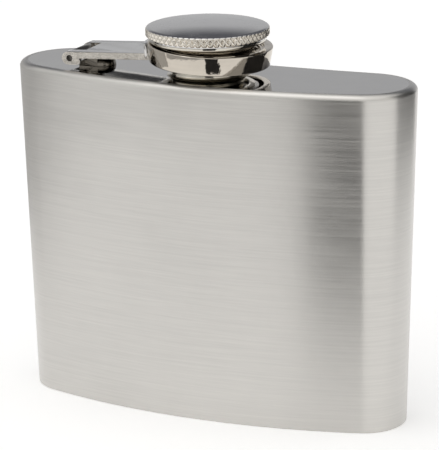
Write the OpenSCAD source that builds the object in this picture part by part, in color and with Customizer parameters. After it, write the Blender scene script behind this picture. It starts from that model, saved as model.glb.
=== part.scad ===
// Pocket flask with a captive screw cap.
// Millimetres. The origin is on the base, under the neck's axis.
// X runs along the width, -Y is the bulging front, +Z is up.

/* [Body] */

// Width of the body at the shoulder
body_width = 95; // [80:1:115]
// Height of the body, base to top plate
body_height = 77.5; // [60:0.5:120]
// Radius of the bulging front
front_radius = 140; // [100:1:200]
// Radius of the hollow back
back_radius = 435; // [250:5:800]
// Radius of the rounded ends in plan
end_radius = 11.9; // [9:0.1:15]
// How far each side draws in from shoulder to base
draft_in = 2; // [0:0.1:3]
// Thickness of the wrapped sheet
wall = 0.6; // [0.5:0.1:1.2]
// Height of the rounded rim band
rim_drop = 1.3; // [0.8:0.1:2]
// Depth of the rounded rim band, seen from above
rim_in = 1.8; // [1.2:0.1:2.5]
// Bevel at the bottom edge
base_bevel = 0.3; // [0.1:0.05:0.5]

/* [Plates] */

// Thickness of the top plate
top_plate_t = 0.8; // [0.6:0.1:1.5]
// Thickness of the base plate
base_plate_t = 0.6; // [0.5:0.1:1.5]
// Gap left for the weld round a plate
weld_gap = 0.02; // [0.01:0.01:0.05]

/* [Neck] */

// Radius of the mouth
mouth_r = 6.2; // [5:0.1:8]
// Wall of the neck behind the thread
neck_wall = 1.45; // [1:0.05:2]
// Depth of the thread
thread_depth = 0.55; // [0.3:0.05:0.7]
// Pitch of the thread
thread_pitch = 1.8; // [1.2:0.1:2.4]
// Height of the neck above the top plate
neck_height = 8.1; // [7.6:0.1:9.5]
// Plain length of neck below the thread
neck_plain = 1.9; // [1.4:0.1:2.6]
// Depth of the neck's spigot below the top plate
spigot_below = 1; // [0.4:0.1:1.5]

/* [Cap] */

// How far the knurled rim stands out past the stem
head_over = 3.4; // [3:0.1:5]
// Height of the knurled rim
knurl_height = 2.2; // [1.8:0.1:3.5]
// Rise of the dome above the rim
dome_rise = 0.8; // [0.4:0.1:2]
// Width of the polished edge round the dome
dome_edge = 0.5; // [0.3:0.1:0.8]
// Thickness of the head's rim
head_wall = 1.4; // [1:0.1:1.8]
// Thickness of the head above the sleeve
head_top = 0.6; // [0.5:0.1:1.5]
// Thickness of the sleeve above the gasket
sleeve_top = 1; // [0.8:0.1:1.5]
// Wall of the sleeve's stem behind the thread
stem_wall = 1.3; // [1:0.05:1.8]
// Radial room between the threads, past what the swing needs
swing_air = 0.069; // [0.05:0.001:0.2]
// Height of the gasket
gasket_t = 0.9; // [0.6:0.1:1.4]
// Gap between the neck and the gasket
gasket_gap = 0.06; // [0.02:0.01:0.15]
// Height of the polished band under the head
cone_drop = 0.7; // [0.5:0.1:1]
// Set-back of the band's lower edge from the knurled rim
cone_in = 0.75; // [0.65:0.05:1.2]
// Set-back of the head's foot from the knurled rim
foot_in = 0.6; // [0.4:0.05:0.8]
// Height of the plain band below the knurling
foot_rise = 0.35; // [0.2:0.05:0.6]
// Height of the stem's end above the top plate
stem_clear = 2.1; // [0.8:0.1:2.4]

/* [Retaining clip] */

// Thickness of the clip
clip_t = 0.6; // [0.4:0.1:0.8]
// How far the clip stands out of the stem
clip_out = 0.9; // [0.6:0.05:1]
// Depth of the clip's groove
clip_groove = 0.45; // [0.3:0.05:0.5]
// Running room of the clip in its groove
clip_room = 0.06; // [0.03:0.01:0.1]
// Opening angle of the clip's gap
clip_gap_angle = 24; // [12:1:40]

/* [Collar] */

// Height of the collar
collar_height = 4.2; // [3.4:0.1:4.6]
// Wall of the collar
collar_wall = 2; // [1.6:0.1:2.4]
// Radial room between the clip and the collar's bore
collar_room = 0.7; // [0.6:0.05:1]
// How far the clip reaches past the edge of the collar's rib
clip_catch = 0.2; // [0.1:0.05:0.4]
// Lift that the cap has before its clip meets the collar's rib
lift_room = 1.46; // [1.4:0.02:1.6]
// Height of the collar's inner rib
rib_height = 1; // [0.6:0.1:1.4]
// How much the collar narrows towards its foot
collar_taper = 0.5; // [0:0.1:0.8]
// Side room left between the stem and the collar at rest
collar_side = 0.2; // [0.15:0.05:0.6]
// Rest tilt of the collar, low on the right
collar_tilt = 3; // [0:0.5:4]

/* [Arm and hinge] */

// Distance from the neck's axis to the hinge pin
hinge_reach = 31.2; // [29:0.1:34]
// Drop from the collar's middle to the pin
pin_below = 2.5; // [1.5:0.1:3]
// Radius of the pin
pin_r = 0.7; // [0.5:0.05:0.8]
// Running room round the pin
pin_room = 0.05; // [0.03:0.01:0.1]
// Wall of a hinge eye
eye_wall = 0.7; // [0.5:0.05:0.8]
// Thickness of the arm
arm_t = 1.5; // [1.1:0.1:1.6]
// Width of the arm
arm_width = 13; // [12:0.5:16]
// How far an eye stands out past its round
eye_nose = 0.45; // [0:0.05:0.8]
// Width of the middle knuckle
knuckle_width = 7.4; // [6:0.1:9]
// Set-back of each side of the bracket's foot from its knuckle
foot_inset = 0.75; // [0.3:0.05:1.5]
// Side gap between the knuckles
knuckle_gap = 0.15; // [0.1:0.01:0.3]
// Rise of the arm towards the collar
arm_rise = 3.5; // [1:0.5:4]
// How far each end of the pin is sunk in its eye
pin_sunk = 0.25; // [0.1:0.05:0.5]
// Length of the bracket's foot, pin to the centre of its nose
foot_length = 5.2; // [4:0.1:7]
// Height between the bracket's foot and the arm
foot_room = 0.45; // [0.2:0.05:0.8]
// Thickness of the tab that joins the arm to the collar
tab_t = 0.8; // [0.6:0.1:1.2]

/* [Hidden] */

$fn = 96;
eps = 0.01;

// Plan of the body: two end arcs, a front arc and a hollow back arc, tangent all round.
end_x = body_width / 2 - end_radius;
front_reach = sqrt(pow(front_radius - end_radius, 2) - pow(end_x, 2));
back_reach = sqrt(pow(back_radius + end_radius, 2) - pow(end_x, 2));
end_y = (front_radius - front_reach + back_radius - back_reach) / 2;
front_y = end_y + front_reach;
back_y = end_y + back_reach;
front_half = asin(end_x / (front_radius - end_radius));
back_half = asin(end_x / (back_radius + end_radius));
end_sweep = 180 - front_half + back_half;
seam_lap = 0.1;
seam_step = 0.01;
rim_steps = 5;
flange_seat = 0.3;
flange_drop = top_plate_t + flange_seat;

// Radii of the neck, then the cap round it.
// The swing needs room at the thread's far side, as it rises on an arc about the pin.
thread_root = mouth_r + neck_wall;
neck_r = thread_root + thread_depth;
spigot_step = 0.3;
spigot_r = thread_root - spigot_step;
thread_ease = 0.4;
ridge = [[0, 0.1], [1, 0.35], [1, 0.6], [0, 0.85]];
neck_top = body_height + neck_height;
male_z = body_height + neck_plain;
male_count = floor((neck_top - thread_ease - male_z) / thread_pitch);
stem_z0 = body_height + stem_clear;
far_side = hinge_reach + neck_r;
crest_rise = male_z + thread_pitch * (male_count - 1 + ridge[2][1]) - stem_z0;
swing_room = sqrt(pow(far_side, 2) + pow(crest_rise, 2)) - far_side + swing_air;
female_crest = neck_r + swing_room;
female_root = female_crest + thread_depth;
stem_r = female_root + stem_wall;
head_r = stem_r + head_over;
head_bore = head_r - head_wall;
cone_r = head_r - cone_in;
gasket_over = 0.35;
gasket_r = female_root + gasket_over;

// Heights of the cap, from the gasket's face up.
gasket_z = neck_top + gasket_gap;
sleeve_ceiling = gasket_z + gasket_t;
sleeve_z1 = sleeve_ceiling + sleeve_top;
knurl_top = sleeve_z1 + head_top;
head_bottom = knurl_top - knurl_height;
cone_z = head_bottom - cone_drop;

// Clip and collar, sized from the stem.
lip_t = 0.4;
clip_z = stem_z0 + lip_t + clip_room;
clip_r = stem_r + clip_out;
groove_r = stem_r - clip_groove;
rib_room = clip_out - clip_catch;
rib_r = stem_r + rib_room;
collar_bore = clip_r + collar_room;
collar_r = collar_bore + collar_wall;
collar_foot_r = collar_r - collar_taper;
collar_shift = min(rib_room, collar_room) - collar_side;
collar_z0 = -collar_height / 2;
collar_air = 0.127;
collar_mid = cone_z - collar_air - collar_r * sin(collar_tilt) - collar_height / 2;
rib_z = clip_z + clip_t + lift_room + rib_r * sin(collar_tilt) - collar_mid;
edge_break = 0.25;

// Hinge, hung from the collar's middle.
eye_r = pin_r + pin_room + eye_wall;
pin_z = collar_mid - pin_below;
pin_height = pin_z - body_height;
notch_past = 1.6;
notch_x = eye_r + notch_past;
tail_r = 0.75;
tail_x = 1.9;
plate_past = 4;
foot_width = knuckle_width - 2 * foot_inset;
foot_height = pin_height + eye_r - arm_t - foot_room;
nose_r = foot_width / 2;
nose_share = 0.85;
nose_round = nose_share * foot_height;
tab_angle = asin(arm_width / 2 / collar_r);

// Inset of the outer face at a height: nothing at the rim's foot, draft_in at the base.
function drawn_in(z) = draft_in * (1 - z / (body_height - rim_drop));

// The rounded rim, as [inset, height] points from the rim's foot to its top.
rim_curve = [for (i = [0 : rim_steps])
    let (a = 90 * i / rim_steps)
    [rim_in * (1 - cos(a)), body_height - rim_drop + rim_drop * sin(a)]];

// One cut through the wrapped wall, as [inset, height] points.
wall_cut = concat(
    [[drawn_in(0) + base_bevel, 0], [drawn_in(base_bevel), base_bevel]],
    rim_curve,
    [[rim_in, body_height - flange_drop],
     [wall + drawn_in(body_height - flange_drop - rim_in), body_height - flange_drop - rim_in],
     [wall + drawn_in(0), 0]]);

module wall_face(radius, side) {
    polygon([for (p = wall_cut) [radius - side * p[0], p[1]]]);
}

// One long stretch of the wall. It laps a hair inside the end arcs, so the stretches join as one sheet.
module long_wall(centre_y, radius, half, side) {
    reach = half + seam_lap / radius * 180 / PI;
    translate([0, centre_y, 0])
        rotate([0, 0, -90 - reach])
            rotate_extrude(angle = 2 * reach, $fn = 720) wall_face(radius - side * seam_step, side);
}

module end_wall() {
    translate([end_x, end_y, 0])
        rotate([0, 0, front_half - 90])
            rotate_extrude(angle = end_sweep) wall_face(end_radius, 1);
}

// Plan outline of the body, set in by a distance.
module outline(inset) {
    far = 4 * end_radius;
    fx = far * sin(front_half);
    fy = far * cos(front_half);
    bx = far * sin(back_half);
    by = far * cos(back_half);
    intersection() {
        polygon([
            [-end_x, end_y], [-end_x - fx, end_y - fy], [end_x + fx, end_y - fy],
            [end_x, end_y], [end_x - bx, end_y + by], [bx - end_x, end_y + by]]);
        difference() {
            translate([0, front_y]) circle(r = front_radius - inset, $fn = 720);
            translate([0, back_y]) circle(r = back_radius + inset, $fn = 1440);
        }
    }
    for (side = [-1, 1])
        translate([side * end_x, end_y]) circle(r = end_radius - inset);
}

module body_wall() {
    color("silver") {
        long_wall(front_y, front_radius, front_half, 1);
        long_wall(back_y, back_radius, back_half, -1);
        end_wall();
        mirror([1, 0, 0]) end_wall();
    }
}

module top_plate() {
    color("gainsboro")
        translate([0, 0, body_height - top_plate_t])
            linear_extrude(top_plate_t)
                difference() {
                    outline(rim_in + weld_gap);
                    circle(r = spigot_r + weld_gap);
                }
}

module base_plate() {
    color("darkgray")
        linear_extrude(base_plate_t)
            outline(wall + drawn_in(0) + weld_gap);
}

// Thread ridges as [radius, height] points, rising from z0, each one pitch high.
// The flat of each ridge stands out by the thread's depth on the given side.
function ridges(z0, count, root, depth) = [
    for (i = [0 : count - 1])
        for (p = ridge)
            [root + depth * p[0], z0 + thread_pitch * (i + p[1])]];

function reversed(list) = [for (i = [len(list) - 1 : -1 : 0]) list[i]];

// Weld fillet round the neck's foot, as [radius, height] points.
neck_fillet = 1;
fillet_steps = 4;
fillet_curve = [for (i = [0 : fillet_steps])
    let (a = 90 * i / fillet_steps)
    [neck_r + neck_fillet * (1 - sin(a)),
     body_height + weld_gap + neck_fillet * (1 - cos(a))]];

module neck() {
    lip_in = 0.2;
    mouth_break = 0.3;
    spigot_z = body_height - top_plate_t - spigot_below;
    color("lightsteelblue")
        rotate_extrude()
            polygon(concat(
                [[mouth_r, spigot_z], [spigot_r, spigot_z],
                 [spigot_r, body_height + weld_gap]],
                fillet_curve,
                [[neck_r, male_z - spigot_step], [thread_root, male_z]],
                ridges(male_z, male_count, thread_root, thread_depth),
                [[thread_root, neck_top - lip_in], [thread_root - lip_in, neck_top],
                 [mouth_r + mouth_break, neck_top], [mouth_r, neck_top - mouth_break]]));
}

// Turned along the hinge axis, so that Z becomes Y.
module along_pin(length, radius) {
    rotate([90, 0, 0]) cylinder(h = length, r = radius, center = true);
}

module hinge_bracket() {
    foot_x = 0.6;
    foot_z = weld_gap - pin_height;
    color("slategray")
        translate([-hinge_reach, 0, pin_z])
            difference() {
                union() {
                    along_pin(knuckle_width, eye_r);
                    translate([foot_x, -foot_width / 2, foot_z])
                        cube([foot_length - foot_x, foot_width, foot_height]);
                    translate([foot_length, 0, foot_z])
                        rotate_extrude() nose_face();
                }
                along_pin(knuckle_width + 1, pin_r + weld_gap);
            }
}

module nose_face() {
    polygon(concat(
        [[0, 0], [nose_r, 0]],
        [for (a = [0 : 15 : 90])
            [nose_r - nose_round + nose_round * cos(a),
             foot_height - nose_round + nose_round * sin(a)]],
        [[0, foot_height]]));
}

module hinge_pin() {
    color("dimgray")
        translate([-hinge_reach, 0, pin_z])
            along_pin(arm_width - 2 * pin_sunk, pin_r);
}

// The collar's place: shifted and tilted a little on the cap's stem.
module at_collar() {
    translate([collar_shift, 0, collar_mid]) rotate([0, collar_tilt, 0]) children();
}

module eye() {
    along_pin(arm_width, eye_r);
    translate([-eye_nose, 0, 0]) along_pin(arm_width, eye_r);
    translate([-eye_nose, -arm_width / 2, -eye_r])
        cube([eye_nose, arm_width, 2 * eye_r]);
    translate([tail_x, 0, tail_r - eye_r]) along_pin(arm_width, tail_r);
    translate([0, -arm_width / 2, -eye_r])
        cube([tail_x, arm_width, eye_r]);
}

module arm() {
    plate_end = hinge_reach - collar_r + plate_past;
    below = 5;
    color("lightgray")
        difference() {
            union() {
                translate([-hinge_reach, 0, pin_z])
                    rotate([0, -arm_rise, 0]) {
                        eye();
                        translate([0, -arm_width / 2, eye_r - arm_t])
                            cube([plate_end, arm_width, arm_t]);
                    }
                at_collar() tab();
            }
            at_collar()
                translate([0, 0, collar_z0 - below])
                    cylinder(h = below + eps, r = collar_r + weld_gap);
            at_collar()
                translate([0, 0, collar_z0])
                    cylinder(h = collar_height, r1 = collar_foot_r + weld_gap,
                        r2 = collar_r + weld_gap);
            translate([-hinge_reach, 0, pin_z])
                rotate([0, -arm_rise, 0]) {
                    along_pin(arm_width + 1, pin_r + pin_room);
                    notch();
                }
        }
}

// Room for the bracket's knuckle, with more below the arm, where the eyes' tails stop.
module notch() {
    notch_width = knuckle_width + 2 * knuckle_gap;
    x0 = -eye_nose - eye_r - 1;
    translate([x0, -notch_width / 2, -eye_r - 1])
        cube([notch_x - x0, notch_width, 2 * eye_r + 2]);
    translate([x0, -notch_width / 2, -eye_r - 1])
        cube([tail_x + tail_r + eps - x0, notch_width, 1 + 2 * eye_r - arm_t]);
}

// Curved plate that lies against the collar, as wide as the arm.
module tab() {
    tab_in = 0.3;
    rotate([0, 0, 180 - tab_angle])
        rotate_extrude(angle = 2 * tab_angle)
            polygon([
                [collar_foot_r, collar_z0 + tab_in],
                [collar_foot_r + tab_t, collar_z0 + 2 * tab_in],
                [collar_r + tab_t, -collar_z0 - 2 * tab_in],
                [collar_r, -collar_z0 - tab_in]]);
}

module collar() {
    z1 = collar_z0 + collar_height;
    color("khaki")
        at_collar()
            rotate_extrude()
                polygon([
                    [collar_bore, collar_z0], [collar_foot_r - edge_break, collar_z0],
                    [collar_foot_r, collar_z0 + edge_break], [collar_r, z1 - edge_break],
                    [collar_r - edge_break, z1], [collar_bore + edge_break, z1],
                    [collar_bore, z1 - edge_break], [collar_bore, rib_z + rib_height],
                    [rib_r, rib_z + rib_height], [rib_r, rib_z], [collar_bore, rib_z]]);
}

module retaining_clip() {
    color("orange")
        translate([0, 0, clip_z])
            rotate([0, 0, 90 + clip_gap_angle / 2])
                rotate_extrude(angle = 360 - clip_gap_angle)
                    translate([groove_r + clip_room, 0])
                        square([clip_r - groove_r - clip_room, clip_t]);
}

module cap_sleeve() {
    stem_break = 0.1;
    rim_break = 0.3;
    female_ease = 0.5;
    groove_z0 = stem_z0 + lip_t;
    groove_z1 = groove_z0 + clip_t + 2 * clip_room;
    thread_z = stem_z0 + female_ease;
    count = floor((gasket_z - rim_break - thread_z) / thread_pitch);
    plate_r = head_bore - weld_gap;
    plate_z = head_bottom - weld_gap;
    color("steelblue")
        rotate_extrude()
            polygon(concat(
                [[female_root + stem_break, stem_z0], [stem_r - stem_break, stem_z0],
                 [stem_r, stem_z0 + stem_break], [stem_r, groove_z0],
                 [groove_r, groove_z0], [groove_r, groove_z1], [stem_r, groove_z1],
                 [stem_r, cone_z - rim_break], [stem_r + rim_break, cone_z], [cone_r, cone_z],
                 [head_r - foot_in, plate_z], [plate_r, plate_z],
                 [plate_r, sleeve_z1], [0, sleeve_z1],
                 [0, sleeve_ceiling], [gasket_r, sleeve_ceiling],
                 [gasket_r, gasket_z - weld_gap], [female_root, gasket_z - stem_break]],
                reversed(ridges(thread_z, count, female_root, -thread_depth)),
                [[female_root, thread_z - 2 * stem_break]]));
}

// Low dome of the head, a cap of a large ball, inside the polished edge.
dome_foot = head_r - dome_edge;
dome_ball = (dome_foot * dome_foot + dome_rise * dome_rise) / (2 * dome_rise);
dome_step = 0.15;
dome_z = knurl_top + dome_step;

module cap_head() {
    foot_lean = 0.08;
    knurl_foot = 0.15;
    top_break = 0.2;
    past = 1;
    color("whitesmoke")
        rotate_extrude()
            difference() {
                union() {
                    polygon([
                        [0, head_bottom], [head_r - foot_in, head_bottom],
                        [head_r - foot_in + foot_lean, head_bottom + foot_rise],
                        [head_r, head_bottom + foot_rise + knurl_foot],
                        [head_r, knurl_top - top_break],
                        [dome_foot, dome_z], [0, dome_z]]);
                    intersection() {
                        translate([0, dome_z + dome_rise - dome_ball])
                            circle(r = dome_ball, $fn = 720);
                        translate([0, knurl_top])
                            square([dome_foot, dome_rise + past]);
                    }
                }
                translate([-past, head_bottom - past])
                    square([head_bore + past, sleeve_z1 + weld_gap - head_bottom + past]);
            }
}

module gasket() {
    seat_room = 0.05;
    color("white")
        translate([0, 0, gasket_z])
            cylinder(h = gasket_t - weld_gap, r = gasket_r - seat_room);
}

body_wall();
top_plate();
base_plate();
neck();
hinge_bracket();
hinge_pin();
arm();
collar();
retaining_clip();
cap_sleeve();
cap_head();
gasket();
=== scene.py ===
"""Pocket flask with a captive screw cap, in metres, on the CAD model's frame."""
from math import asin, atan2, cos, degrees, floor, pi, radians, sin, sqrt

import bmesh
import bpy
from mathutils import Matrix, Vector, noise


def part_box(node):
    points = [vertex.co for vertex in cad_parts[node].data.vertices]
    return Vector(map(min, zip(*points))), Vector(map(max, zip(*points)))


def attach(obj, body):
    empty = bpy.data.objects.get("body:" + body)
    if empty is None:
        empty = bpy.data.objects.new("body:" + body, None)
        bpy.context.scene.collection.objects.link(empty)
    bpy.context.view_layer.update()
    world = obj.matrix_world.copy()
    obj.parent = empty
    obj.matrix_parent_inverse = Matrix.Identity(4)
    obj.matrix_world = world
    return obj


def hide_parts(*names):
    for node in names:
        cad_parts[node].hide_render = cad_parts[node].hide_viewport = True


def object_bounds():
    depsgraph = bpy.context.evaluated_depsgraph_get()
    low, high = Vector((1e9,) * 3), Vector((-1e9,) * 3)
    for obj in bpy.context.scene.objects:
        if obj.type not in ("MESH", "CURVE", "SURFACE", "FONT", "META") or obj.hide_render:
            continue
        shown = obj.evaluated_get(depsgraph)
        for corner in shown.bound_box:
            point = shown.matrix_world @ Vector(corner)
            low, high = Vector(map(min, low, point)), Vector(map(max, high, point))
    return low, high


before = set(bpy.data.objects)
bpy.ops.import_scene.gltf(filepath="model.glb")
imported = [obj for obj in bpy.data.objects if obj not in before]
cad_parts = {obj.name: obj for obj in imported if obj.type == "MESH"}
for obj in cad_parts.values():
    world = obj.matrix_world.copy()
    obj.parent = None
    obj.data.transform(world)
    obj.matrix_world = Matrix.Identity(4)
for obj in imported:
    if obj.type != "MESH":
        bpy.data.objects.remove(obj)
cad_low, cad_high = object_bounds()

# ---- Studio: a long lens from the front right, a pale floor and a soft room of light. The
# room is light all round and overhead, with one dark stretch high up at the back, which the
# dome and the top plate mirror. None of this is part of the flask.
CAMERA_PLACE = Vector((0.24135, -0.52466, 0.21132))
CAMERA_TURN = radians(24.5)
CAMERA_DIP = radians(16.3)
CAMERA_ROLL = radians(0.79)
LENS = 213.5
SENSOR = 36
NEAREST = 0.01
FARTHEST = 20

ahead = Vector((-sin(CAMERA_TURN) * cos(CAMERA_DIP), cos(CAMERA_TURN) * cos(CAMERA_DIP),
                -sin(CAMERA_DIP)))
level = Vector((cos(CAMERA_TURN), sin(CAMERA_TURN), 0))
down = ahead.cross(level)
across = cos(CAMERA_ROLL) * level + sin(CAMERA_ROLL) * down
below = cos(CAMERA_ROLL) * down - sin(CAMERA_ROLL) * level
camera_data = bpy.data.cameras.new("camera")
camera_data.lens = LENS
camera_data.sensor_width = SENSOR
camera_data.clip_start = NEAREST
camera_data.clip_end = FARTHEST
camera = bpy.data.objects.new("camera", camera_data)
camera.matrix_world = Matrix.Translation(CAMERA_PLACE) @ Matrix(
    (across, -below, -ahead)).transposed().to_4x4()
bpy.context.collection.objects.link(camera)
bpy.context.scene.camera = camera
bpy.context.scene.view_settings.view_transform = "Standard"

# Brightness of the room by bearing: degrees from the front towards the right, then a colour.
BEARINGS = [
    (-180, (0.70, 0.71, 0.73)), (-112, (0.72, 0.72, 0.73)), (-84, (0.80, 0.80, 0.80)),
    (-56, (0.86, 0.86, 0.85)), (-44, (1.20, 1.20, 1.18)), (-33, (1.20, 1.20, 1.18)),
    (-26, (0.98, 0.97, 0.95)), (40, (0.90, 0.89, 0.86)), (88, (0.90, 0.88, 0.85)),
    (120, (0.72, 0.72, 0.73)), (180, (0.70, 0.71, 0.73))]
OVERHEAD = (1.0, 0.99, 0.97)
HIGH_BACK = (0.17, 0.175, 0.195)
ROOM_STRENGTH = 0.74
OVERHEAD_STRENGTH = 1.35
# Where the back begins and ends, in turns from the back, and where the dark stretch and the
# overhead light begin, on a scale from 0, straight down, to 1, straight up.
BACK_STOPS = [(0.0, 1.0), (0.12, 1.0), (0.2, 0.0), (0.88, 0.0), (0.95, 1.0)]
HIGH_STOPS = [(0.0, 0.0), (0.588, 0.0), (0.628, 1.0)]
OVERHEAD_STOPS = [(0.0, 0.0), (0.74, 0.0), (0.82, 1.0)]


def wired(tree, kind, **values):
    """A new node, with its properties or its inputs set by name."""
    node = tree.nodes.new(kind)
    for key, value in values.items():
        label = key.replace("_", " ")
        if label in node.inputs:
            node.inputs[label].default_value = value
        else:
            setattr(node, key, value)
    return node


def calculated(tree, operation, first, second=None, clamp=False):
    """A Math node whose inputs are sockets or numbers."""
    node = tree.nodes.new("ShaderNodeMath")
    node.operation = operation
    node.use_clamp = clamp
    for slot_in, value in zip(node.inputs, (first, second)):
        if value is None:
            continue
        if isinstance(value, (int, float)):
            slot_in.default_value = value
        else:
            tree.links.new(value, slot_in)
    return node.outputs[0]


def mixed(tree, factor, first, second):
    """A colour mix whose inputs are sockets or colours."""
    node = tree.nodes.new("ShaderNodeMix")
    node.data_type = "RGBA"
    for slot_in, value in zip((node.inputs[0], node.inputs[6], node.inputs[7]),
                              (factor, first, second)):
        if isinstance(value, bpy.types.NodeSocket):
            tree.links.new(value, slot_in)
        elif isinstance(value, (int, float)):
            slot_in.default_value = value
        else:
            slot_in.default_value = (*value, 1)
    return node.outputs[2]


def ramp(tree, value, stops):
    """A colour ramp on a socket, from (place, colour or grey) stops."""
    node = tree.nodes.new("ShaderNodeValToRGB")
    tree.links.new(value, node.inputs[0])
    bands = node.color_ramp.elements
    while len(bands) < len(stops):
        bands.new(1)
    for band, (place, colour) in zip(bands, stops):
        band.position = place
        band.color = (*colour, 1) if isinstance(colour, tuple) else (colour,) * 3 + (1,)
    return node.outputs[0]


world = bpy.data.worlds.new("room")
bpy.context.scene.world = world
world.use_nodes = True
room = world.node_tree
room.nodes.clear()
heading = room.nodes.new("ShaderNodeTexCoord").outputs["Generated"]
parts = room.nodes.new("ShaderNodeSeparateXYZ")
room.links.new(heading, parts.inputs[0])
towards_front = calculated(room, "MULTIPLY", parts.outputs[1], -1)
bearing = calculated(room, "ARCTAN2", parts.outputs[0], towards_front)
turn = calculated(room, "ADD", calculated(room, "DIVIDE", bearing, 2 * pi), 0.5)
around = ramp(room, turn, [((b + 180) / 360, c) for b, c in BEARINGS])
behind = ramp(room, turn, BACK_STOPS)
climb = calculated(room, "ARCSINE", parts.outputs[2])
height = calculated(room, "ADD", calculated(room, "DIVIDE", climb, pi), 0.5)
high = ramp(room, height, HIGH_STOPS)
top = ramp(room, height, OVERHEAD_STOPS)
back_dark = calculated(room, "MULTIPLY", high, behind)
lit = mixed(room, back_dark, around, HIGH_BACK)
sky = mixed(room, top, lit, tuple(c * OVERHEAD_STRENGTH for c in OVERHEAD))
background = wired(room, "ShaderNodeBackground", Strength=ROOM_STRENGTH)
room.links.new(sky, background.inputs["Color"])
world_out = room.nodes.new("ShaderNodeOutputWorld")
room.links.new(background.outputs[0], world_out.inputs[0])

FLOOR_HALF = 2.5
FLOOR_GLOW = 0.32
PAPER = (0.93, 0.93, 0.93, 1)
PAPER_ROUGHNESS = 0.9
floor_material = bpy.data.materials.new("floor_paper")
floor_material.use_nodes = True
paper = floor_material.node_tree.nodes["Principled BSDF"]
paper.inputs["Base Color"].default_value = PAPER
paper.inputs["Roughness"].default_value = PAPER_ROUGHNESS
paper.inputs["Emission Color"].default_value = (1, 1, 1, 1)
paper.inputs["Emission Strength"].default_value = FLOOR_GLOW
ground = bmesh.new()
bmesh.ops.create_grid(ground, x_segments=1, y_segments=1, size=FLOOR_HALF,
                      matrix=Matrix.Translation((0, 0, cad_low.z)))
floor_mesh = bpy.data.meshes.new("floor")
ground.to_mesh(floor_mesh)
ground.free()
floor_object = bpy.data.objects.new("floor", floor_mesh)
floor_mesh.materials.append(floor_material)
bpy.context.collection.objects.link(floor_object)

LAMP_PLACE = Vector((-0.25, -0.1, 1.1))
LAMP_AIM = Vector((0, 0, 0.04))
LAMP_SIZE = 0.6
LAMP_POWER = 1.0
lamp_data = bpy.data.lights.new("overhead_light", "AREA")
lamp_data.size = LAMP_SIZE
lamp_data.energy = LAMP_POWER
lamp = bpy.data.objects.new("overhead_light", lamp_data)
lamp.location = LAMP_PLACE
lamp.rotation_euler = (LAMP_AIM - LAMP_PLACE).to_track_quat("-Z", "Y").to_euler()
bpy.context.collection.objects.link(lamp)

# Cards stand round the set, where only the metal's reflections see them: near black ones at
# the camera and at the far right, grey ones across the front and at the left. Each has its
# bearings, its distance from the neck, its lower and upper edge, and its grey.
UP = (0, 0, 1)
ORIGIN = (0, 0, 0)
CARDS = [("camera_gap", 15, 40, 0.108, 0.0, 0.095, 0.04),
         ("front_card", -60, 12, 0.300, 0.0, 0.07, 0.55),
         ("side_card", 93, 146, 0.160, 0.035, 0.22, 0.04),
         ("grey_card", -128, -62, 0.170, 0.0, 0.13, 0.60)]
CARD_STEPS = 12
for card_name, from_deg, to_deg, away, low, high_edge, grey in CARDS:
    card_material = bpy.data.materials.new(card_name)
    card_material.use_nodes = True
    matt = card_material.node_tree.nodes["Principled BSDF"]
    matt.inputs["Base Color"].default_value = (grey, grey, grey, 1)
    matt.inputs["Roughness"].default_value = 1
    matt.inputs["Specular IOR Level"].default_value = 0
    card = bmesh.new()
    first = radians(from_deg)
    posts = [card.verts.new((away * sin(first), -away * cos(first), z)) for z in (low, high_edge)]
    bmesh.ops.spin(card, geom=[*posts, card.edges.new(posts)], cent=(0, 0, 0), axis=UP,
                   dvec=ORIGIN, angle=radians(to_deg - from_deg), steps=CARD_STEPS,
                   space=Matrix.Identity(4))
    card_mesh = bpy.data.meshes.new(card_name)
    card.to_mesh(card_mesh)
    card.free()
    card_object = bpy.data.objects.new(card_name, card_mesh)
    card_mesh.materials.append(card_material)
    card_object.visible_camera = False
    card_object.visible_diffuse = False
    card_object.visible_shadow = False
    bpy.context.collection.objects.link(card_object)

# ---- Body shell: one sheet of stainless steel wrapped to a bulging front and a hollow back,
# welded down the middle of the back, drawn in towards the base and brushed along its length.
MM = 0.001
BODY_WIDTH = 95 * MM
FRONT_RADIUS = 140 * MM
BACK_RADIUS = 435 * MM
END_RADIUS = 11.9 * MM
DRAFT_IN = 2 * MM
SHEET = 0.6 * MM
RIM_DROP = 1.3 * MM
RIM_IN = 1.8 * MM
RIM_STEPS = 10
SEAT = 1.1 * MM
BASE_BEVEL = 0.3 * MM
SIDE_RINGS = [20 * MM, 40 * MM, 60 * MM]
FRONT_STEPS = 72
END_STEPS = 48
BACK_STEPS = 36
SEAM_HALF = 0.22 * MM
SEAM_SINK = 0.05 * MM
NO_SIZE = 1e-6
CUT_SLACK = 1e-7
body_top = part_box("body_wall")[1].z

end_x = BODY_WIDTH / 2 - END_RADIUS
front_reach = sqrt((FRONT_RADIUS - END_RADIUS) ** 2 - end_x ** 2)
back_reach = sqrt((BACK_RADIUS + END_RADIUS) ** 2 - end_x ** 2)
end_y = (FRONT_RADIUS - front_reach + BACK_RADIUS - back_reach) / 2
front_y = end_y + front_reach
back_y = end_y + back_reach
front_half = asin(end_x / (FRONT_RADIUS - END_RADIUS))
back_half = asin(end_x / (BACK_RADIUS + END_RADIUS))
end_sweep = pi - front_half + back_half


def closed_loop(mesh, points):
    """Adds a closed loop of points to a mesh and returns its vertices and edges."""
    corners = [mesh.verts.new(p) for p in points]
    sides = [mesh.edges.new(pair) for pair in zip(corners, corners[1:] + corners[:1])]
    return corners + sides


def carried(mesh, cut, centre, angle, steps):
    """Spins a cut about an upright axis and returns it at its last place."""
    return bmesh.ops.spin(mesh, geom=cut, cent=centre, axis=UP, dvec=ORIGIN, angle=angle,
                          steps=steps, space=Matrix.Identity(4))["geom_last"]


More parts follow.
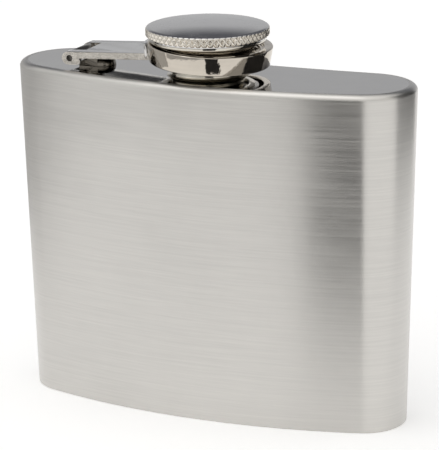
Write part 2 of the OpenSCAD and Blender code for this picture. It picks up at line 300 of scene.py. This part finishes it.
def as_piece(mesh, name, body, finish_slot, material, *stands_for, sharp=32):
    """Makes the mesh a smooth-shaded piece that rides on a body and stands for CAD nodes."""
    data = bpy.data.meshes.new(name)
    mesh.to_mesh(data)
    mesh.free()
    for face in data.polygons:
        face.use_smooth = True
    data.set_sharp_from_angle(angle=radians(sharp))
    data.materials.append(material)
    piece = bpy.data.objects.new(name, data)
    bpy.context.collection.objects.link(piece)
    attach(piece, body)
    if stands_for:
        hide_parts(*stands_for)
    return piece


def sealed(mesh):
    """Closes seams and points every face outwards."""
    bmesh.ops.remove_doubles(mesh, verts=mesh.verts[:], dist=NO_SIZE)
    bmesh.ops.recalc_face_normals(mesh, faces=mesh.faces[:])


def broken_edges(mesh, width, turn=35, segments=2):
    """Breaks every edge sharper than an angle, as tumbling and polishing do."""
    sharp = [e for e in mesh.edges
             if len(e.link_faces) == 2 and degrees(e.calc_face_angle(0)) > turn]
    bmesh.ops.bevel(mesh, geom=sharp, offset=width, segments=segments, profile=0.5,
                    affect="EDGES", material=-1, clamp_overlap=True)


def stretched(tree, value):
    """Noise spread to use the whole range from 0 to 1."""
    wide = wired(tree, "ShaderNodeMapRange", From_Min=0.3, From_Max=0.7)
    tree.links.new(value, wide.inputs["Value"])
    return wide.outputs[0]


def streak_group():
    """A group that puts out two masks: Streak, fine grain scaled along each axis by Grain,
    and Smear, slow patches scaled by Patch."""
    group = bpy.data.node_groups.new("grain_and_patch", "ShaderNodeTree")
    for label, kind in (("Vector", "NodeSocketVector"), ("Grain", "NodeSocketVector"),
                        ("Patch", "NodeSocketFloat")):
        group.interface.new_socket(label, in_out="INPUT", socket_type=kind)
    for label in ("Streak", "Smear"):
        group.interface.new_socket(label, in_out="OUTPUT", socket_type="NodeSocketFloat")
    given = group.nodes.new("NodeGroupInput")
    taken = group.nodes.new("NodeGroupOutput")
    scaled = wired(group, "ShaderNodeVectorMath", operation="MULTIPLY")
    group.links.new(given.outputs["Vector"], scaled.inputs[0])
    group.links.new(given.outputs["Grain"], scaled.inputs[1])
    fine = wired(group, "ShaderNodeTexNoise", Scale=1.0, Detail=5.0, Roughness=0.62)
    group.links.new(scaled.outputs[0], fine.inputs["Vector"])
    group.links.new(stretched(group, fine.outputs[0]), taken.inputs["Streak"])
    slow = wired(group, "ShaderNodeTexNoise", Detail=3.0, Roughness=0.5)
    group.links.new(given.outputs["Vector"], slow.inputs["Vector"])
    group.links.new(given.outputs["Patch"], slow.inputs["Scale"])
    group.links.new(stretched(group, slow.outputs[0]), taken.inputs["Smear"])
    return group


grain_and_patch = streak_group()
QUARTER_TURN = 0.25


def worked_metal(name, colour, roughness, grain, depth, spread=0.06, shade=0.10,
                 patch=90.0, directional=0.0, wave=0.0):
    """Metal whose grain and smears come from how it was worked.

    grain is lines per metre along each axis, and patch is smears per metre. depth is the
    height of the grain in metres, and wave that of the slow unevenness that polishing
    leaves. spread and shade are how far the marks move roughness and colour, and
    directional is how strongly level brushing stretches a reflection upwards."""
    material = bpy.data.materials.new(name)
    material.use_nodes = True
    tree = material.node_tree
    shader = tree.nodes["Principled BSDF"]
    shader.inputs["Metallic"].default_value = 1.0
    shader.inputs["Anisotropic"].default_value = directional
    place = tree.nodes.new("ShaderNodeTexCoord").outputs["Object"]
    marks = tree.nodes.new("ShaderNodeGroup")
    marks.node_tree = grain_and_patch
    marks.inputs["Grain"].default_value = grain
    marks.inputs["Patch"].default_value = patch
    tree.links.new(place, marks.inputs["Vector"])
    streak, smear = marks.outputs["Streak"], marks.outputs["Smear"]
    both = calculated(tree, "ADD", calculated(tree, "MULTIPLY", streak, 0.5),
                  calculated(tree, "MULTIPLY", smear, 0.5))
    swing = calculated(tree, "MULTIPLY", calculated(tree, "SUBTRACT", both, 0.5), 2 * spread)
    tree.links.new(calculated(tree, "ADD", swing, roughness, clamp=True),
                   shader.inputs["Roughness"])
    darker = tuple(c * (1 - shade) for c in colour)
    tree.links.new(mixed(tree, both, darker, colour), shader.inputs["Base Color"])
    bump = wired(tree, "ShaderNodeBump", Strength=1.0, Distance=depth)
    tree.links.new(streak, bump.inputs["Height"])
    if wave:
        swell = wired(tree, "ShaderNodeBump", Strength=1.0, Distance=wave)
        tree.links.new(smear, swell.inputs["Height"])
        tree.links.new(swell.outputs[0], bump.inputs["Normal"])
    tree.links.new(bump.outputs[0], shader.inputs["Normal"])
    if directional:
        lay = tree.nodes.new("ShaderNodeTangent")
        lay.direction_type = "RADIAL"
        lay.axis = "Z"
        shader.inputs["Anisotropic Rotation"].default_value = QUARTER_TURN
        tree.links.new(lay.outputs[0], shader.inputs["Tangent"])
    return material


brushed_body = worked_metal("brushed_body", (0.735, 0.718, 0.688), 0.36, (55, 55, 2300),
                            8e-6, spread=0.08, shade=0.20, patch=35, directional=0.75,
                            wave=4e-5)


def drawn_in(z):
    """How far the wall has come in at a height."""
    return DRAFT_IN * (1 - z / (body_top - RIM_DROP))


seat_z = body_top - SEAT
inside_z = seat_z - RIM_IN
wall_cut = [(drawn_in(0) + BASE_BEVEL, 0), (drawn_in(BASE_BEVEL), BASE_BEVEL)]
wall_cut += [(drawn_in(z), z) for z in SIDE_RINGS]
wall_cut += [(RIM_IN * (1 - cos(a)), body_top - RIM_DROP + RIM_DROP * sin(a))
             for a in (pi / 2 * i / RIM_STEPS for i in range(RIM_STEPS + 1))]
wall_cut += [(RIM_IN, seat_z), (SHEET + drawn_in(inside_z), inside_z), (SHEET + drawn_in(0), 0)]

shell = bmesh.new()
start = -pi / 2 - front_half
cut = closed_loop(shell, [((FRONT_RADIUS - inset) * cos(start),
                           front_y + (FRONT_RADIUS - inset) * sin(start), z)
                          for inset, z in wall_cut])
for centre, angle, steps in (((0, front_y, 0), 2 * front_half, FRONT_STEPS),
                             ((end_x, end_y, 0), end_sweep, END_STEPS),
                             ((0, back_y, 0), -2 * back_half, BACK_STEPS),
                             ((-end_x, end_y, 0), end_sweep, END_STEPS)):
    cut = carried(shell, cut, centre, angle, steps)
sealed(shell)
for offset in (-SEAM_HALF, 0, SEAM_HALF):
    back = [f for f in shell.faces if f.calc_center_median().y > end_y]
    around_back = {e for f in back for e in f.edges} | {v for f in back for v in f.verts}
    bmesh.ops.bisect_plane(shell, geom=[*back, *around_back], dist=CUT_SLACK,
                           plane_co=(offset, 0, 0), plane_no=(1, 0, 0))
for vert in shell.verts:
    if abs(vert.co.x) < NO_SIZE and vert.co.y > end_y and vert.co.z < body_top - RIM_DROP:
        vert.co.y -= SEAM_SINK
sealed(shell)
as_piece(shell, "body_shell", "flask", "brushed_body", brushed_body, "body_wall")

# ---- Top plate: a flat steel plate, set inside the turned-over rim, welded all round and
# polished to a mirror.
mirror_plate = worked_metal("mirror_plate", (0.54, 0.53, 0.515), 0.055, (160, 160, 160),
                            1.5e-6, spread=0.03, shade=0.10, patch=60, wave=1.5e-5)
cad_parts["top_plate"].material_slots[0].material = mirror_plate

# ---- Base plate: a flat steel plate, set in the foot of the wall, welded round its edge and
# brushed like the body.
brushed_base = worked_metal("brushed_base", (0.66, 0.65, 0.635), 0.38, (45, 7000, 45),
                            3e-6, spread=0.07, shade=0.14, patch=40)
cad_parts["base_plate"].material_slots[0].material = brushed_base

# ---- Neck: a turned steel mouthpiece with a plain band at its foot and a rolled helical
# thread above it, brazed in the hole of the top plate. Its colour is painted light: the
# steel is made paler than it is, to stand for light on the neck in the collar's shade.
MOUTH_R = 6.2 * MM
THREAD_ROOT = 7.65 * MM
THREAD_DEPTH = 0.55 * MM
THREAD_PITCH = 1.8 * MM
NECK_PLAIN = 1.9 * MM
NECK_FILLET = 1.0 * MM
FILLET_STEPS = 8
NECK_BAND = 1.5 * MM
NECK_TURNS = 2.6
NECK_EDGE = 0.15 * MM
SPIGOT_R = 7.35 * MM
WELD_GAP = 0.02 * MM
RUN_OUT = 0.12
HELIX_STEPS = 72
RIDGE = [(-0.15, 0.12), (0.55, 0.32), (1.0, 0.4), (1.0, 0.55), (0.55, 0.63), (-0.15, 0.83)]
neck_low, neck_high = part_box("neck")
# Painted light: a steel colour paler than the metal's own, for light on the neck under the
# collar.
neck_steel = worked_metal("neck_steel", (0.84, 0.79, 0.69), 0.20, (300, 300, 5000),
                          2e-6, spread=0.06, shade=0.2, patch=220)


def turned_piece(points, steps=128):
    """A lathe-turned mesh from (radius, height) points of its closed cut."""
    mesh = bmesh.new()
    cut_line = closed_loop(mesh, [(r, 0, z) for r, z in points])
    bmesh.ops.spin(mesh, geom=cut_line, cent=ORIGIN, axis=UP, dvec=ORIGIN, angle=2 * pi,
                   steps=steps, use_merge=True, space=Matrix.Identity(4))
    sealed(mesh)
    return mesh


def helix_ridge(mesh, root, depth, z0, turns, pitch=THREAD_PITCH):
    """Adds a helical ridge, run out to nothing at both ends."""
    steps = round(HELIX_STEPS * turns)
    ridge = bmesh.new()
    line = closed_loop(ridge, [(root + depth * out, 0, z0 + pitch * rise) for out, rise in RIDGE])
    bmesh.ops.spin(ridge, geom=line, cent=ORIGIN, axis=UP, angle=2 * pi * turns, steps=steps,
                   dvec=(0, 0, pitch * turns / steps), space=Matrix.Identity(4))
    middle = sum(rise for _, rise in RIDGE) / len(RIDGE)
    for vert in ridge.verts:
        lap = atan2(vert.co.y, vert.co.x) / (2 * pi)
        turn_at = lap + round((vert.co.z - z0) / pitch - middle - lap)
        ease = min(1, max(0, min(turn_at, turns - turn_at) / RUN_OUT))
        radius = Vector(vert.co.xy).length
        scale = (root + (radius - root) * ease) / radius
        vert.co.x *= scale
        vert.co.y *= scale
    rims = [e for e in ridge.edges if e.is_boundary]
    bmesh.ops.edgeloop_fill(ridge, edges=rims)
    bmesh.ops.recalc_face_normals(ridge, faces=ridge.faces[:])
    scratch = bpy.data.meshes.new("ridge")
    ridge.to_mesh(scratch)
    ridge.free()
    mesh.from_mesh(scratch)
    bpy.data.meshes.remove(scratch)


neck_r = THREAD_ROOT + THREAD_DEPTH
neck_foot = body_top + WELD_GAP
neck_points = [(MOUTH_R, neck_low.z), (SPIGOT_R, neck_low.z), (SPIGOT_R, neck_foot)]
neck_points += [(neck_r + NECK_FILLET * (1 - sin(a)), neck_foot + NECK_FILLET * (1 - cos(a)))
                for a in (pi / 2 * i / FILLET_STEPS for i in range(FILLET_STEPS + 1))]
neck_points += [(neck_r, body_top + NECK_BAND), (THREAD_ROOT, body_top + NECK_PLAIN),
                (THREAD_ROOT, neck_high.z), (MOUTH_R, neck_high.z)]
neck_mesh = turned_piece(neck_points)
broken_edges(neck_mesh, NECK_EDGE)
helix_ridge(neck_mesh, THREAD_ROOT, THREAD_DEPTH, body_top + NECK_PLAIN, NECK_TURNS)
as_piece(neck_mesh, "neck_thread", "flask", "neck_steel", neck_steel, "neck")

# ---- Hinge bracket: one small cast block with a domed nose, a knuckle for the pin and
# a weld under its foot. It is polished but not brushed. Its colour is painted shade: the
# steel is made near black to stand for the shade under the arm.
# Painted shade: a near black steel colour for the bracket's place in the arm's shade.
polished_steel = worked_metal("polished_steel", (0.24, 0.22, 0.19), 0.12, (420, 420, 420),
                              5e-6, spread=0.05, shade=0.2, patch=400)
SAME_PLACE = 2e-6
SAME_FLAT = radians(1.2)
CAST_EDGE = 0.12 * MM


def copied_from(node, width):
    """A merged copy of a CAD node's mesh, with its flats whole and its edges broken."""
    mesh = bmesh.new()
    mesh.from_mesh(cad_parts[node].data)
    bmesh.ops.remove_doubles(mesh, verts=mesh.verts[:], dist=SAME_PLACE)
    bmesh.ops.dissolve_limit(mesh, angle_limit=SAME_FLAT, verts=mesh.verts[:],
                             edges=mesh.edges[:], delimit={"NORMAL"})
    broken_edges(mesh, width, turn=30)
    return mesh


bracket = copied_from("hinge_bracket", CAST_EDGE)
as_piece(bracket, "bracket_block", "flask", "polished_steel", polished_steel, "hinge_bracket",
         sharp=50)

# ---- Hinge pin: a plain drawn steel wire through the three knuckles, cropped and riveted
# slightly at each end. Its colour is painted shade: the steel is made near black to stand
# for the shade on its ends, sunk in the eyes.
PIN_R = 0.7 * MM
PIN_CROWN = 0.12 * MM
PIN_SUNK = 0.3 * MM
PIN_FLAT = 0.7
PIN_FALL = 0.4
PIN_STEPS = 40
pin_low, pin_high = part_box("hinge_pin")
# Painted shade: a near black steel colour for the pin's sunk ends.
pin_steel = worked_metal("pin_steel", (0.14, 0.13, 0.12), 0.35, (600, 200, 600),
                         4e-6, spread=0.08, shade=0.3, patch=900)
pin_centre = (pin_low + pin_high) / 2
pin_end = (pin_high.y - pin_low.y) / 2 - PIN_SUNK
crown_cut = [(0, pin_end), (PIN_R * PIN_FLAT, pin_end - PIN_CROWN * PIN_FALL),
             (PIN_R, pin_end - PIN_CROWN)]
pin_cut = [(r, -z) for r, z in crown_cut] + crown_cut[::-1]
pin_mesh = turned_piece(pin_cut, steps=PIN_STEPS)
bmesh.ops.transform(pin_mesh, verts=pin_mesh.verts[:],
                    matrix=Matrix.Translation(pin_centre) @ Matrix.Rotation(pi / 2, 4, "X"))
as_piece(pin_mesh, "rivet_pin", "flask", "pin_steel", pin_steel, "hinge_pin")

# ---- Arm: a strip of steel with its end rolled into two eyes round the pin, and its other
# end turned up against the collar. Its long edges are sheared and left rough.
arm_steel = worked_metal("arm_steel", (0.66, 0.65, 0.635), 0.13, (700, 120, 700),
                         4e-6, spread=0.07, shade=0.14, patch=240)
sheared_steel = worked_metal("sheared_steel", (0.76, 0.72, 0.66), 0.16, (1500, 1500, 1500),
                             9e-5, spread=0.10, shade=0.35, patch=900)
SHEARED = 0.20 * MM
SHEAR_GRAINS = [(1500, 0.6), (600, 0.4)]
SHEAR_CELL = 0.4 * MM
SHEAR_ROUNDS = 5
SIDEWAYS = 0.97
ARM_EDGE = 0.14 * MM
arm_mesh = copied_from("arm", ARM_EDGE)


def is_sheared(face):
    """True for the long cut faces, which look straight along the pin."""
    return abs(face.normal.y) > SIDEWAYS


for _ in range(SHEAR_ROUNDS):
    cut_faces = [f for f in arm_mesh.faces if is_sheared(f)]
    for cut_face in cut_faces:
        cut_face.select = True
    bmesh.ops.triangulate(arm_mesh, faces=cut_faces)
    long_edges = {e for f in arm_mesh.faces if is_sheared(f) for e in f.edges
                  if e.calc_length() > SHEAR_CELL and all(map(is_sheared, e.link_faces))}
    if not long_edges:
        break
    bmesh.ops.subdivide_edges(arm_mesh, edges=sorted(long_edges, key=lambda e: e.index), cuts=1)
for vert in arm_mesh.verts:
    if vert.link_faces and all(map(is_sheared, vert.link_faces)):
        torn = sum(share * noise.noise(vert.co * grain) for grain, share in SHEAR_GRAINS)
        vert.co.y -= (SHEARED * (0.5 + torn)) * (1 if vert.normal.y > 0 else -1)
for face in arm_mesh.faces:
    face.material_index = 1 if is_sheared(face) or face.select else 0
arm_piece = as_piece(arm_mesh, "hinge_strip", "arm", "arm_steel", arm_steel, "arm", sharp=50)
arm_piece.data.materials.append(sheared_steel)

# ---- Collar: a nickel-plated ring that the cap hangs in, loose on the stem, so it sits a
# little to one side and tilts. A rib inside holds it over the clip.
COLLAR_SHIFT = 0.5 * MM
COLLAR_TILT = radians(3)
COLLAR_MID = 82.3 * MM
COLLAR_HALF = 2.1 * MM
COLLAR_BORE = 11.973 * MM
COLLAR_TOP_R = 13.973 * MM
COLLAR_FOOT_R = 13.473 * MM
RIB_R = 11.073 * MM
RIB_LOW = 0.396 * MM
RIB_HIGH = 1.396 * MM
COLLAR_EDGE = 0.25 * MM
collar_nickel = worked_metal("collar_nickel", (0.60, 0.55, 0.48), 0.06, (90, 90, 1500),
                             3e-6, spread=0.04, shade=0.12, patch=330, wave=3.5e-5)
collar_mesh = turned_piece([
    (COLLAR_BORE, -COLLAR_HALF), (COLLAR_FOOT_R, -COLLAR_HALF), (COLLAR_TOP_R, COLLAR_HALF),
    (COLLAR_BORE, COLLAR_HALF), (COLLAR_BORE, RIB_HIGH), (RIB_R, RIB_HIGH), (RIB_R, RIB_LOW),
    (COLLAR_BORE, RIB_LOW)], steps=160)
broken_edges(collar_mesh, COLLAR_EDGE, segments=3)
bmesh.ops.transform(collar_mesh, verts=collar_mesh.verts[:],
                    matrix=Matrix.Translation((COLLAR_SHIFT, 0, COLLAR_MID))
                    @ Matrix.Rotation(COLLAR_TILT, 4, "Y"))
as_piece(collar_mesh, "cap_collar", "arm", "collar_nickel", collar_nickel, "collar")

# ---- Retaining clip: a split ring of flat spring steel, sprung into the groove at the foot
# of the cap's stem, under the collar's rib.
CLIP_INNER = 9.983 * MM
CLIP_OUTER = 11.273 * MM
CLIP_GAP = radians(24)
CLIP_STEPS = 110
CLIP_EDGE = 0.12 * MM
clip_low, clip_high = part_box("retaining_clip")
clip_steel = worked_metal("clip_steel", (0.50, 0.49, 0.47), 0.22, (500, 500, 3000),
                          3e-6, spread=0.08, shade=0.2, patch=500)
clip_mesh = bmesh.new()
clip_start = pi / 2 + CLIP_GAP / 2
clip_line = closed_loop(clip_mesh, [
    (r * cos(clip_start), r * sin(clip_start), z)
    for r, z in ((CLIP_INNER, clip_low.z), (CLIP_OUTER, clip_low.z),
                 (CLIP_OUTER, clip_high.z), (CLIP_INNER, clip_high.z))])
carried(clip_mesh, clip_line, ORIGIN, 2 * pi - CLIP_GAP, CLIP_STEPS)
bmesh.ops.edgeloop_fill(clip_mesh, edges=[e for e in clip_mesh.edges if e.is_boundary])
sealed(clip_mesh)
broken_edges(clip_mesh, CLIP_EDGE)
as_piece(clip_mesh, "snap_ring", "clip", "clip_steel", clip_steel, "retaining_clip")

# ---- Cap sleeve: the turned inside of the cap, with its stem, its groove for the clip, the
# lower part of the polished band under the head, and a helical thread.
STEM_R = 10.373 * MM
GROOVE_R = 9.923 * MM
FEMALE_ROOT = 9.073 * MM
HEAD_R = 13.773 * MM
HEAD_BORE = 12.353 * MM
GASKET_R = 9.423 * MM
BAND_IN = 0.75 * MM
FOOT_IN = 0.6 * MM
BAND_R = HEAD_R - BAND_IN
FOOT_R = HEAD_R - FOOT_IN
BAND_HEIGHT = 0.7 * MM
LIP = 0.4 * MM
GROOVE = 0.72 * MM
THREAD_START = 0.6 * MM
SLEEVE_TURNS = 2.1
SLEEVE_EDGE = 0.08 * MM
sleeve_low, sleeve_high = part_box("cap_sleeve")
head_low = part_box("cap_head")[0]
gasket_low, gasket_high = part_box("gasket")
sleeve_steel = worked_metal("sleeve_steel", (0.66, 0.62, 0.55), 0.07, (200, 200, 4000),
                            2e-6, spread=0.05, shade=0.14, patch=200)
groove_z0 = sleeve_low.z + LIP
groove_z1 = groove_z0 + GROOVE
band_z = head_low.z - BAND_HEIGHT
plate_z = head_low.z - WELD_GAP
ceiling_z = gasket_high.z + WELD_GAP
gasket_seat_z = gasket_low.z - WELD_GAP
sleeve_mesh = turned_piece([
    (FEMALE_ROOT, sleeve_low.z), (STEM_R, sleeve_low.z), (STEM_R, groove_z0),
    (GROOVE_R, groove_z0), (GROOVE_R, groove_z1), (STEM_R, groove_z1), (STEM_R, band_z),
    (BAND_R, band_z), (FOOT_R, plate_z), (HEAD_BORE, plate_z),
    (HEAD_BORE, sleeve_high.z), (0, sleeve_high.z), (0, ceiling_z), (GASKET_R, ceiling_z),
    (GASKET_R, gasket_seat_z), (FEMALE_ROOT, gasket_seat_z)])
broken_edges(sleeve_mesh, SLEEVE_EDGE)
helix_ridge(sleeve_mesh, FEMALE_ROOT, -THREAD_DEPTH, sleeve_low.z + THREAD_START, SLEEVE_TURNS)
as_piece(sleeve_mesh, "threaded_sleeve", "cap", "sleeve_steel", sleeve_steel, "cap_sleeve")

# ---- Cap head: a steel shell pressed over the sleeve, with a low polished dome, a rim knurled
# in diamond pits for grip and a plain band below it. Fine dust lies on the dome.
HEAD_WALL_R = 12.373 * MM
KNURL_TOP = 88.16 * MM
FOOT_LEAN = 0.08 * MM
FOOT_RISE = 0.35 * MM
KNURL_LEDGE = 0.15 * MM
KNURL_BREAK = 0.2 * MM
RIM_EDGE = 0.15 * MM
KNURL_AROUND = 63
KNURL_HIGH = 1.75 * MM
KNURL_DEPTH = 0.46 * MM
PIT_SLOPE = 1.1
CELL_COLUMNS = 10
ON_RIM = 0.01 * MM
KNURL_ROWS = 20
DOME_EDGE = 0.5 * MM
DOME_STEP = 0.15 * MM
DOME_RISE = 0.8 * MM
DOME_STEPS = 24
cap_steel = worked_metal("cap_steel", (0.64, 0.63, 0.62), 0.07, (2200, 2200, 2200),
                         1.2e-6, spread=0.06, shade=0.10, patch=240)
knurl_steel = worked_metal("knurl_steel", (0.86, 0.81, 0.73), 0.22, (1800, 1800, 1800),
                           4e-6, spread=0.06, shade=0.25, patch=600)
DUST = (0.58, 0.59, 0.63)
DUST_COVER = 0.22
DUST_SPECKS = 2900.0
DUST_DRIFTS = 150.0
SPECK_STOPS = (0.54, 0.68)
DRIFT_STOPS = (0.44, 0.60)


def dusted(material, colour, cover):
    """Lays fine dry dust over a finish, in drifts."""
    tree = material.node_tree
    shader = tree.nodes["Principled BSDF"]
    place = tree.nodes.new("ShaderNodeTexCoord").outputs["Object"]
    specks = wired(tree, "ShaderNodeTexNoise", Scale=DUST_SPECKS, Detail=2.0)
    drifts = wired(tree, "ShaderNodeTexNoise", Scale=DUST_DRIFTS, Detail=2.0)
    for texture in (specks, drifts):
        tree.links.new(place, texture.inputs["Vector"])
    fine = ramp(tree, specks.outputs[0], [*zip(SPECK_STOPS, (0.0, 1.0))])
    broad = ramp(tree, drifts.outputs[0], [*zip(DRIFT_STOPS, (0.0, cover))])
    cover_here = calculated(tree, "MULTIPLY", fine, broad)
    clean = shader.inputs["Base Color"].links[0].from_socket
    tree.links.new(mixed(tree, cover_here, clean, colour), shader.inputs["Base Color"])
    tree.links.new(calculated(tree, "SUBTRACT", 1.0, cover_here), shader.inputs["Metallic"])
    smooth = shader.inputs["Roughness"].links[0].from_socket
    tree.links.new(calculated(tree, "ADD", smooth, cover_here, clamp=True),
                   shader.inputs["Roughness"])


dusted(cap_steel, DUST, DUST_COVER)
knurl_foot = head_low.z + FOOT_RISE + KNURL_LEDGE
knurl_end = KNURL_TOP - KNURL_BREAK
dome_foot = HEAD_R - DOME_EDGE
dome_z = KNURL_TOP + DOME_STEP
dome_ball = (dome_foot ** 2 + DOME_RISE ** 2) / (2 * DOME_RISE)
head_points = [(HEAD_WALL_R, head_low.z), (FOOT_R, head_low.z),
               (FOOT_R + FOOT_LEAN, head_low.z + FOOT_RISE), (HEAD_R, knurl_foot)]
head_points += [(HEAD_R, knurl_foot + (knurl_end - knurl_foot) * i / KNURL_ROWS)
                for i in range(1, KNURL_ROWS + 1)]
head_points.append((HEAD_R - RIM_EDGE, KNURL_TOP))
for i in range(DOME_STEPS + 1):
    radius = dome_foot * (1 - i / DOME_STEPS)
    rise = DOME_RISE - dome_ball + sqrt(dome_ball ** 2 - radius ** 2)
    head_points.append((radius, dome_z + rise))
shell_top = sleeve_high.z + WELD_GAP
head_points += [(0, shell_top), (HEAD_WALL_R, shell_top)]
head_mesh = turned_piece(head_points, steps=KNURL_AROUND * CELL_COLUMNS)


def triangle_wave(x):
    """0 on whole numbers and 1 half way between them."""
    return 1 - abs(2 * (x - floor(x)) - 1)


for vert in head_mesh.verts:
    radius = vert.co.xy.length
    on_rim = radius > HEAD_R - ON_RIM
    if not (on_rim and knurl_foot - NO_SIZE < vert.co.z < knurl_end + NO_SIZE):
        continue
    across_rim = atan2(vert.co.y, vert.co.x) * KNURL_AROUND / (2 * pi)
    up_rim = (vert.co.z - knurl_foot) / KNURL_HIGH
    pit = min(triangle_wave(across_rim + up_rim), triangle_wave(across_rim - up_rim))
    sunk = KNURL_DEPTH * min(1, PIT_SLOPE * pit)
    vert.co.x *= (radius - sunk) / radius
    vert.co.y *= (radius - sunk) / radius
for face in head_mesh.faces:
    middle = face.calc_center_median()
    if middle.xy.length > dome_foot and middle.z < KNURL_TOP:
        face.material_index = 1
head_piece = as_piece(head_mesh, "knurled_head", "cap", "cap_steel", cap_steel, "cap_head",
                      sharp=60)
head_piece.data.materials.append(knurl_steel)

# ---- Gasket: a punched disc of pale rubber, pushed up under the sleeve's ceiling, where it
# seals on the mouth.
GASKET_EDGE = 0.15 * MM
RUBBER_DULL = (0.62, 0.60, 0.55)
RUBBER_PALE = (0.78, 0.77, 0.73)
RUBBER_GRAIN = (2500, 2500, 2500)
RUBBER_PATCH = 260
RUBBER_BUMP = 1e-5
RUBBER_GLOSS = [(0.2, 0.45), (0.9, 0.65)]
gasket_rubber = bpy.data.materials.new("gasket_rubber")
gasket_rubber.use_nodes = True
rubber = gasket_rubber.node_tree
rubber_shader = rubber.nodes["Principled BSDF"]
rubber_marks = rubber.nodes.new("ShaderNodeGroup")
rubber_marks.node_tree = grain_and_patch
rubber_marks.inputs["Grain"].default_value = RUBBER_GRAIN
rubber_marks.inputs["Patch"].default_value = RUBBER_PATCH
rubber.links.new(rubber.nodes.new("ShaderNodeTexCoord").outputs["Object"],
                 rubber_marks.inputs["Vector"])
rubber.links.new(mixed(rubber, rubber_marks.outputs["Smear"], RUBBER_DULL, RUBBER_PALE),
                 rubber_shader.inputs["Base Color"])
rubber.links.new(ramp(rubber, rubber_marks.outputs["Streak"], RUBBER_GLOSS),
                 rubber_shader.inputs["Roughness"])
rubber_bump = wired(rubber, "ShaderNodeBump", Strength=1.0, Distance=RUBBER_BUMP)
rubber.links.new(rubber_marks.outputs["Streak"], rubber_bump.inputs["Height"])
rubber.links.new(rubber_bump.outputs[0], rubber_shader.inputs["Normal"])
gasket_mesh = turned_piece([(0, gasket_low.z), (gasket_high.x, gasket_low.z),
                            (gasket_high.x, gasket_high.z), (0, gasket_high.z)])
broken_edges(gasket_mesh, GASKET_EDGE)
as_piece(gasket_mesh, "seal_disc", "cap", "gasket_rubber", gasket_rubber, "gasket")
